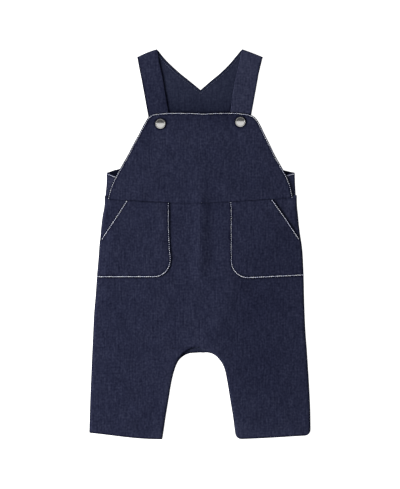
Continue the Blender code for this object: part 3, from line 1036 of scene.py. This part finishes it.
def pocket_shadow_lines(side):
    """The edges of the pocket that shade the leg beside them, away from the light."""
    mouth, _, inner, bottom = pocket_edges(side)
    return [inner, bottom, mouth] if side == "right" else [inner, bottom]


def pocket_stitch_lines(side):
    mouth, _, inner, bottom = pocket_edges(side)
    within = (outward(side) * POCKET_INSIDE, 0)
    mouth, inner, bottom = (drawn_in(line, within, STITCH_INSET) for line in (mouth, inner, bottom))
    kept = 1 - MOUTH_STITCHES_END / lengths_along(mouth)[-1]
    return [along(mouth, np.linspace(0, kept, len(mouth))), inner, bottom]


def pocket_height(across, up, side):
    """It lies on the leg and is a little fuller in its middle."""
    _, below, inner, _ = pocket_edges(side)
    full = 1 - bump(nearest_of([inner, below], across, up), POCKET_FULL_FROM)
    puckers = puckered(across, up, pocket_stitch_lines(side))
    return leg_height(across, up, side) + POCKET_LIFT + POCKET_FULL * full + puckers


def pocket(side, denim, inside, thread):
    within = (outward(side) * POCKET_INSIDE, 0)
    mouth, below, inner = (drawn_in(line, within) for line in pocket_outline(side))
    below[0] = mouth[-1]
    below[-1, 1] += EDGE_INSET
    high, low = POCKET_INNER_STEPS
    by_mouth = along(inner, np.linspace(0, POCKET_OPPOSITE_MOUTH, high))
    by_below = along(inner, np.linspace(POCKET_OPPOSITE_MOUTH, 1, low))
    bands = (
        (mouth, by_mouth, places(POCKET_MOUTH_HEIGHT, close_start=True)),
        (below, by_below, places(POCKET_HEIGHT_BELOW, close_end=True)),
    )
    grid = dipped(clear_of_seam(rule(bands, places(POCKET_WIDTH, True, True)), -1))
    across, up = grid[..., 0], grid[..., 1]
    lines = pocket_stitch_lines(side)
    height = pocket_height(across, up, side) - furrow(lines, across, up)
    # Painted shade along the edges, in the stitches' furrow and by the waist seam, with the legs' painted
    # light and shade.
    tone = darkened(nearest_of(pocket_edges(side), across, up), EDGE_PAINTED_SHADE, EDGE_HALF)
    tone *= beside_stitches(lines, across, up) * (1 + along_lines(LEG_SHADES, across, up))
    tone *= by_waist_seam(across, up)
    cloth = [stretch(at_height(grid, height), tone)]
    piece = shell(f"pocket_{side}_cloth", cloth, (denim, inside))

    def on_pocket(across, up):
        return pocket_height(across, up, side)

    sewn = stitched(f"pocket_{side}_topstitching", lines, on_pocket, thread, POCKET_STITCH_WIDTH)
    lay(f"pocket_{side}")


def turn_over(row, direction, flat_row):
    """The rows that carry cloth round a fold, from a row on the floor to the same row above itself."""
    rows, flats = [], []
    for angle in np.linspace(0, math.pi, FOLD_STEPS + 1)[1:]:
        place = row + np.array(direction) * FOLD_RADIUS * math.sin(angle)
        rows.append(at_height(place[None], BACK_MID + FOLD_RADIUS * (1 - math.cos(angle)))[0])
        flats.append(flat_row + np.array(direction) * FOLD_RADIUS * angle)
    return np.array(rows), np.array(flats)


def shoulder(side):
    """The line at the shoulder where the strap folds over, its outer end first, and the way up over it."""
    ends = np.array([points_of(ARMHOLE, side)[-1], points_of(V_NECK, side)[-1]])
    run = (ends[1] - ends[0]) / np.linalg.norm(ends[1] - ends[0])
    over = outward(side) * np.array([run[1], -run[0]])
    ends = ends + [run * EDGE_INSET, -run * EDGE_INSET]
    return ends - over * FOLD_REACH, over


def bowed(grid, shares, side, over):
    """The grid with the slight bow of the shoulder's fold. shares are the points' places along it."""
    reach = V_NECK[-1].up - SHOULDER_BOW_FROM
    near = np.clip((grid[..., 1] - SHOULDER_BOW_FROM) / reach, 0, 1)
    bow = SHOULDER_BOW[side] * np.sin(np.pi * shares) * near
    return grid + bow[..., None] * over


def inside_tone(across, up, neck):
    """The inside of the back is pale along the turned neck edge, with painted shade down behind the bib,
    painted shadows beside the straps and the darkest painted shade in the ends of the armholes."""
    from_neck = distance_to(neck, across, up)
    tone = INSIDE_TONE + NECK_PALE * bump(from_neck, NECK_PALE_HALF)
    tone *= darkened(from_neck, EDGE_PAINTED_SHADE, EDGE_HALF)
    tone *= beside_stitches([neck_stitch_line(side) for side in SIDES], across, up) ** NECK_STITCH_SHADE
    behind = np.clip(1 - (up - BIB_TOP) / BEHIND_BIB_FADES, 0, 1)
    tone *= 1 - BEHIND_BIB_PAINTED_SHADE * behind**3
    for side in SIDES:
        away = distance_to(curve_of(STRAP_INNER, side), across, up)
        tone *= darkened(away, STRAP_SHADOW_DARK[side], STRAP_SHADOW_HALF[side])
    deep = np.clip((ARMHOLE_END_TOP - up) / ARMHOLE_END_FADES, 0, 1)
    return tone * (1 + along_lines(INSIDE_SHADES, across, up)) * (1 - (1 - ARMHOLE_END_PAINTED_SHADE) * deep)


def back_half(side, fold, line, over, columns):
    """The back from the waist to the shoulder, and its edge at the neck."""
    arm = smooth([fold[-1], *points_of(ARMHOLE, side)[1:-1], line[0]])
    arm[1:-1] = drawn_in(arm, BACK_INSIDE)[1:-1]
    neck = curve_of(V_NECK, side)
    neck[:-1] = drawn_in(neck, SHOULDER_INSIDE[side])[:-1]
    neck[0] = (V_NECK[0].left, V_NECK[0].up - EDGE_INSET / math.sin(V_HALF_ANGLE))
    neck[-1] = line[1]
    level = NECK_LEVEL * CURVE_STEPS
    waist, underarm, point = ((V_NECK[0].left, up) for up in (WAIST_UP, fold[-1][1], neck[0][1]))
    low, middle, high = BACK_HEIGHTS
    bands = (
        (fold, np.array([waist, underarm]), places(low, close_start=True)),
        (arm[: level + 1], np.array([underarm, point]), places(middle, step=BACK_STEP)),
        (arm[level:], neck, places(high)),
    )
    return bowed(clear_of_seam(rule(bands, columns), 1), columns, side, over), neck


def strap_down(side, line, over, columns):
    """The strap from the shoulder down the front, to its end under the bib."""
    within = STRAP_INSIDE[side]
    edges = []
    for start, rows in zip(line, (STRAP_OUTER, STRAP_INNER)):
        edge = smooth([start, *points_of(rows, side)[1:]])
        edge[1:] = drawn_in(edge, within)[1:]
        edges.append(edge)
    strap = rule([(*edges, places(STRAP_LENGTH, close_end=True))], columns)
    return bowed(strap, columns, side, over)[1:]


def yoke_and_strap(side, fold):
    """The back up to the shoulder, over it and down its strap. fold is the back's edge at the side wrap."""
    line, over = shoulder(side)
    columns = places(BACK_WIDTH, True, True, BACK_STEP)
    back, neck = back_half(side, fold, line, over, columns)
    turn, turn_flat = turn_over(back[-1], over, back[-1])
    strap = strap_down(side, line, over, columns)
    # Painted shade along the strap's edges and round the shoulder's fold, and each strap's painted light.
    edges = darkened(columns * STRAP_WIDTH, EDGE_PAINTED_SHADE, EDGE_HALF)
    edges *= darkened((1 - columns) * STRAP_WIDTH, STRAP_INNER_EDGE_DARK[side], EDGE_HALF)
    tones = STRAP_PAINTED_LIGHT[side], STRAP_SHOULDER_PAINTED_LIGHT[side]
    fold_edge = 1 - EDGE_PAINTED_SHADE * np.linspace(1, 0, len(turn))[:, None] ** 2
    return stretch(
        np.concatenate([at_height(back, BACK_MID), turn, at_height(strap, TURNED_MID)]),
        np.concatenate([
            inside_tone(back[..., 0], back[..., 1], neck),
            tones[1] * edges * fold_edge,
            edges * np.interp(strap[..., 1], [BIB_TOP, line[0, 1]], tones),
        ]),
        np.concatenate([back, turn_flat, strap + over * math.pi * FOLD_RADIUS]),
    )


def side_wrap(side, fold):
    """The back's side, from its fold in under the bib's lower corner."""
    inner = np.linspace(
        (WRAP_INNER[side], WAIST_UP),
        (WRAP_INNER[side], WRAP_INNER_UP[side]),
        len(fold),
    )
    shares = places(WRAP_DEPTH, close_end=True)[1:, None, None]
    wrap = fold + (inner - fold) * shares
    direction = np.array((outward(side), 0))
    turn, turn_flat = turn_over(fold, direction, fold)
    # Painted light on the wrap, with painted shade round its fold and in the stitches' furrow.
    turn_tone = np.full((1 + len(turn), len(fold)), WRAP_PAINTED_LIGHT[side] * (1 - EDGE_PAINTED_SHADE / 2))
    tone = WRAP_PAINTED_LIGHT[side] * beside_stitches([wrap_stitch_line(side)], wrap[..., 0], wrap[..., 1])
    mirrored = wrap + 2 * direction * np.abs(wrap - fold) + direction * math.pi * FOLD_RADIUS
    return stretch(
        np.concatenate([at_height(fold[None], BACK_MID), turn, at_height(wrap, TURNED_MID)]),
        np.concatenate([turn_tone, tone]),
        np.concatenate([fold[None], turn_flat, mirrored]),
    )


def wrap_stitch_line(side):
    """The stitches along the upper edge of a side wrap, from its fold in under the bib."""
    start = (points_of(SIDE_FOLD, side)[-1][0] - outward(side) * HALF, UNDERARM_UP)
    end = (WRAP_INNER[side], WRAP_INNER_UP[side])
    return np.array([start, end]) - [0, STITCH_INSET]


def neck_stitch_line(side):
    """The stitches in navy thread that hold down the turning of the neck's edge."""
    line = drawn_in(curve_of(V_NECK, side), SHOULDER_INSIDE[side], NECK_STITCH_INSET)
    point = (V_NECK[0].left, V_NECK[0].up - NECK_STITCH_INSET / math.sin(V_HALF_ANGLE))
    return np.vstack([[point], line])


def on_side_wrap(across, up):
    return np.full_like(across, TURNED_MID + FURROW_DEPTH)


def on_back(across, up):
    return np.full_like(across, BACK_MID)


def back_bodice(denim, inside, thread, navy_thread):
    cloth = []
    for side in SIDES:
        edge = curve_of(SIDE_FOLD, side) - [outward(side) * FOLD_REACH, 0]
        fold = clear_of_seam(along(edge, places(BACK_HEIGHTS[0], close_start=True)), 1)
        cloth += [yoke_and_strap(side, fold), side_wrap(side, fold)]
    piece = shell("back_bodice_cloth", cloth, (inside, denim), outer=1)
    wrap_lines = [wrap_stitch_line(side) for side in SIDES]
    neck_lines = [neck_stitch_line(side) for side in SIDES]
    wraps = stitched("side_wrap_topstitching", wrap_lines, on_side_wrap, thread)
    neck = stitched("neck_stitching", neck_lines, on_back, navy_thread)
    lay("back_bodice")


# ---------------------------------------------------------------- press studs

Turn = namedtuple("Turn", "radius height")
STUD_PROFILE = (
    Turn(0, 0),
    Turn(5.6, 0),
    Turn(5.95, 0.2),
    Turn(6.08, 0.5),
    Turn(6.03, 0.85),
    Turn(5.99, 1.04),
    Turn(5.985, 1.06),
    Turn(5.97, 1.068),
    Turn(5.94, 1.076),
    Turn(5.6, 1.17),
    Turn(5.42, 1.19),
    Turn(5.36, 1.19),
    Turn(5.32, 1.15),
    Turn(5.27, 1.05),
    Turn(5.2, 0.76),
    Turn(5.1, 0.7),
    Turn(5.02, 0.76),
    Turn(4.97, 0.9),
    Turn(4.94, 0.96),
)
STUD_DOME_RADIUS = 4.9
STUD_DOME_FOOT = 0.98
STUD_DOME_RISE = 0.5
STUD_DOME_SHARES = (1, 0.985, 0.96, 0.9, 0.8, 0.7, 0.6, 0.5, 0.4, 0.3, 0.2, 0.1, 0)  # close by its sharp edge
STUD_SPIN_STEPS = 72
STUD_HOLDS_FLAT = 9.0
STUD_DIMPLE = 0.15
STUD_RING_RADIUS = 6.7  # of the shadow round it, where it is pressed into the cloth
STUD_RING_DARK = 0.96
STUD_RING_HALF = 1.2


def stud(side, nickel):
    """A press stud's cap: a rolled rim round a low dome."""
    mesh = bmesh.new()
    dome = [
        Turn(STUD_DOME_RADIUS * share, STUD_DOME_FOOT + STUD_DOME_RISE * (1 - share**2))
        for share in STUD_DOME_SHARES
    ]
    verts = [mesh.verts.new((turn.radius * MM, 0, turn.height * MM)) for turn in (*STUD_PROFILE, *dome)]
    edges = [mesh.edges.new(pair) for pair in zip(verts, verts[1:])]
    about = {"cent": (0, 0, 0), "axis": (0, 0, 1)}
    bmesh.ops.spin(mesh, geom=verts + edges, angle=math.tau, steps=STUD_SPIN_STEPS, use_merge=True, **about)
    bmesh.ops.remove_doubles(mesh, verts=mesh.verts, dist=WELD * MM)
    bmesh.ops.recalc_face_normals(mesh, faces=mesh.faces)
    data = finished(f"stud_cap_{side}", mesh, nickel)
    data.shade_smooth()
    cap = add_object(data.name, data)
    across, up = stud_place(side)
    cap.location = (across * MM, up * MM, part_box(f"stud_{side}")[0].z)
    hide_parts(f"stud_{side}")
    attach(cap, "root")


# ---------------------------------------------------------------- materials


def linear(hex_colour, paler=0.0):
    """An sRGB hex colour as a linear one, made paler by a share of the sRGB scale."""
    parts = [int(hex_colour[i : i + 2], 16) / 255 + paler for i in (1, 3, 5)]
    return (*(float(decoded(max(part, 0.0))) for part in parts), 1.0)


def add(tree, kind, settings=(), inputs=(), links=()):
    """A node with its settings, its inputs' values and the outputs that feed it."""
    node = tree.nodes.new(kind)
    for name, value in dict(settings).items():
        setattr(node, name, value)
    for name, value in dict(inputs).items():
        node.inputs[name].default_value = value
    for name, output in dict(links).items():
        tree.links.new(output, node.inputs[name])
    return node


def new_material(name):
    """A material with its node tree and its shader."""
    material = bpy.data.materials.new(name)
    material.use_nodes = True
    return material, material.node_tree, material.node_tree.nodes["Principled BSDF"]


DENIM_MIDDLE = 0.15  # how light its middle colour is, as a share of the sRGB scale
DENIM_REACH = 0.135  # and how far the darkest and the palest are from it
DENIM_UNEVEN = 0.8
INSIDE_UNEVEN = 0.6
DENIM_STOPS = 5
# How far apart the uneven places of the yarns are across and up, in mm, whether they have finer ones in them,
# and how much they count.
Yarn = namedtuple("Yarn", "across up detail weight")
DENIM_YARNS = (
    Yarn(2.4, 2.4, 0, 0.78),  # where warp and weft cross, four times as coarse as the real 0.6 mm, to show
    Yarn(1.9, 8, 0, 0.5),  # thick and thin places of the warp, as much coarser
    Yarn(1.7, 20, 0, 0.42),
    Yarn(7, 1.9, 0, 0.3),  # and of the weft
    Yarn(24, 30, 1, 0.22),  # dye taken up unevenly
)


def uneven_yarns(tree):
    """How uneven the yarns are at each place of the cloth, added up, about 0 on the whole."""
    place = add(tree, "ShaderNodeAttribute", {"attribute_name": "flat"}).outputs["Vector"]
    total = add(tree, "ShaderNodeValue").outputs[0]
    total.default_value = -sum(yarn.weight for yarn in DENIM_YARNS) / 2
    for yarn in DENIM_YARNS:
        scaled = add(
            tree, "ShaderNodeVectorMath", {"operation": "MULTIPLY"},
            {1: (1 / (yarn.across * MM), 1 / (yarn.up * MM), 1.0)}, {0: place},
        ).outputs["Vector"]
        uneven = add(
            tree, "ShaderNodeTexNoise", {"noise_dimensions": "2D"},
            {"Scale": 1.0, "Detail": yarn.detail}, {"Vector": scaled},
        ).outputs["Fac"]
        total = add(
            tree, "ShaderNodeMath", {"operation": "MULTIPLY_ADD"}, {1: yarn.weight}, {0: uneven, 2: total},
        ).outputs[0]
    return total


def indigo_denim(name, middle, unevenness):
    """Woven cotton, dyed in the yarn: uneven indigo streaks along the warp, pale flecks where the yarns
    cross, and a dull surface with a trace of nap. The undyed weft adds the same grey at every depth of blue,
    so shade moves along a scale of even steps."""
    material, tree, shader = new_material(name)
    total = uneven_yarns(tree)
    scale = add(tree, "ShaderNodeAttribute", {"attribute_name": "shade"}).outputs["Fac"]
    colour_at = add(
        tree, "ShaderNodeMath", {"operation": "MULTIPLY_ADD"}, {1: unevenness}, {0: total, 2: scale},
    ).outputs[0]
    halved = add(
        tree, "ShaderNodeMath", {"operation": "MULTIPLY_ADD"}, {1: 0.5, 2: 0.5}, {0: colour_at},
    ).outputs[0]
    ramp = add(tree, "ShaderNodeValToRGB", {}, {}, {"Fac": halved})
    stops = ramp.color_ramp.elements
    for position in np.linspace(0, 1, DENIM_STOPS)[1:-1]:
        stops.new(float(position))
    for stop in stops:
        stop.color = linear(middle, DENIM_REACH * (2 * stop.position - 1))
    tree.links.new(ramp.outputs["Color"], shader.inputs["Base Color"])
    raised = add(tree, "ShaderNodeBump", {}, {"Strength": 0.3, "Distance": 0.2 * MM}, {"Height": total})
    tree.links.new(raised.outputs["Normal"], shader.inputs["Normal"])
    shader.inputs["Roughness"].default_value = 0.85
    shader.inputs["Specular IOR Level"].default_value = 0.1
    shader.inputs["Sheen Weight"].default_value = 0.08
    shader.inputs["Sheen Roughness"].default_value = 0.5
    shader.inputs["Sheen Tint"].default_value = linear("#8d95b4")
    return material


THREAD_TWIST = 11.31  # mm from one turn of the strands, with its painted highlight, to the next: ten times the real length, to show
WAVE_RADIANS = 10  # that Blender's diagonal wave runs through in each unit


def polyester_thread(name, dark, light):
    """Polyester sewing thread: twisted strands with painted highlights where they face the light, slightly
    glossy.
    """
    material, tree, shader = new_material(name)
    place = add(tree, "ShaderNodeTexCoord").outputs["Object"]
    strands = add(
        tree, "ShaderNodeTexWave", {"bands_direction": "DIAGONAL"},
        {"Scale": math.tau / (WAVE_RADIANS * THREAD_TWIST * MM), "Distortion": 1.0}, {"Vector": place},
    ).outputs["Fac"]
    ramp = add(tree, "ShaderNodeValToRGB", {}, {}, {"Fac": strands})
    ramp.color_ramp.elements[0].color = linear(dark)
    ramp.color_ramp.elements[1].color = linear(light)
    tree.links.new(ramp.outputs["Color"], shader.inputs["Base Color"])
    shader.inputs["Roughness"].default_value = 0.55
    return material


RUB_MARK = 0.8  # mm from one to the next


def nickel_plated_brass():
    """Bright nickel plate on a stamped brass cap: a clear mirror, a little warm, with fine rub marks."""
    material, tree, shader = new_material("nickel_plated_brass")
    place = add(tree, "ShaderNodeTexCoord").outputs["Object"]
    rubbed = add(
        tree, "ShaderNodeTexNoise", {}, {"Scale": 1 / (RUB_MARK * MM), "Detail": 3.0}, {"Vector": place},
    ).outputs["Fac"]
    dulled = add(
        tree, "ShaderNodeMapRange", {}, {"From Min": 0.3, "From Max": 0.7, "To Min": 0.1, "To Max": 0.2},
        {"Value": rubbed},
    ).outputs[0]
    tree.links.new(dulled, shader.inputs["Roughness"])
    shader.inputs["Base Color"].default_value = linear("#c3c2c0")
    shader.inputs["Metallic"].default_value = 1.0
    return material


# ---------------------------------------------------------------- floor, light and camera

FLOOR_HALF = 4.0  # in metres
FLOOR_GAP = 0.1  # below the cloth


def floor():
    """A white sheet of acrylic over a light table, so bright that hardly a shadow shows on it."""
    material, _, shader = new_material("white_acrylic")
    shader.inputs["Base Color"].default_value = linear("#f4f4f4")
    shader.inputs["Roughness"].default_value = 0.9
    shader.inputs["Emission Color"].default_value = (1, 1, 1, 1)
    shader.inputs["Emission Strength"].default_value = 0.95
    mesh = bmesh.new()
    bmesh.ops.create_grid(mesh, x_segments=1, y_segments=1, size=FLOOR_HALF)
    surface = add_object("floor", finished("floor", mesh, material))
    surface.location.z = -FLOOR_GAP * MM


def soft_box(name, location, target, size, power):
    """A square softbox that faces the target."""
    lamp = bpy.data.lights.new(name, "AREA")
    lamp.shape = "SQUARE"
    lamp.size = size
    lamp.energy = power
    holder = add_object(name, lamp)
    holder.location = location
    holder.rotation_euler = (Vector(target) - Vector(location)).to_track_quat("-Z", "Y").to_euler()
    holder.visible_camera = False


KEY_PLACE = (-1.4, -0.1, 0.85)  # in metres, as are the boxes' sizes
KEY_SIZE = 0.85
KEY_POWER = 34.5
OVERHEAD_PLACE = (0, -1.12, 3.3)
OVERHEAD_SIZE = 3.2
OVERHEAD_RADIANCE = 1.0
ROOM_LIGHT = 0.13


def studio():
    """A low key from the left, a broad box overhead and a little light from the room."""
    soft_box("key", KEY_PLACE, (0, 0, 0), KEY_SIZE, KEY_POWER)
    below_overhead = (OVERHEAD_PLACE[0], OVERHEAD_PLACE[1], 0)
    overhead_power = OVERHEAD_RADIANCE * math.pi * OVERHEAD_SIZE**2
    soft_box("overhead", OVERHEAD_PLACE, below_overhead, OVERHEAD_SIZE, overhead_power)
    world = bpy.data.worlds.new("studio")
    world.use_nodes = True
    world.node_tree.nodes["Background"].inputs["Color"].default_value = (1, 1, 1, 1)
    world.node_tree.nodes["Background"].inputs["Strength"].default_value = ROOM_LIGHT
    bpy.context.scene.world = world
    bpy.context.scene.view_settings.view_transform = "Standard"


CAMERA_HEIGHT = 3.0  # above the cloth, in metres, as is the length of floor that it sees
FIELD_LENGTH = 0.5868
CLOTH_TOP = 0.004
SENSOR = 24.0


def camera():
    """Straight above the middle, and so far away that the cloth's height hardly shifts its outline."""
    data = bpy.data.cameras.new("camera")
    data.sensor_fit = "AUTO"
    data.sensor_width = SENSOR
    data.lens = SENSOR * CAMERA_HEIGHT / FIELD_LENGTH
    holder = add_object("camera", data)
    holder.location = (0, 0, CAMERA_HEIGHT + CLOTH_TOP)
    bpy.context.scene.camera = holder


def build():
    denim = indigo_denim("indigo_denim", "#23263c", DENIM_UNEVEN)
    inside = indigo_denim("indigo_denim_inside", "#23273b", INSIDE_UNEVEN)
    thread = polyester_thread("pale_polyester_thread", "#c3c7e2", "#f3f5ff")
    navy_thread = polyester_thread("navy_polyester_thread", "#2c3146", "#4c536c")
    nickel = nickel_plated_brass()
    back_bodice(denim, inside, thread, navy_thread)
    bib(denim, inside, thread)
    for side in SIDES:
        back_leg(side, denim, inside)
        front_leg(side, denim, inside)
        pocket(side, denim, inside, thread)
        stud(side, nickel)
    floor()
    studio()
    camera()


build()
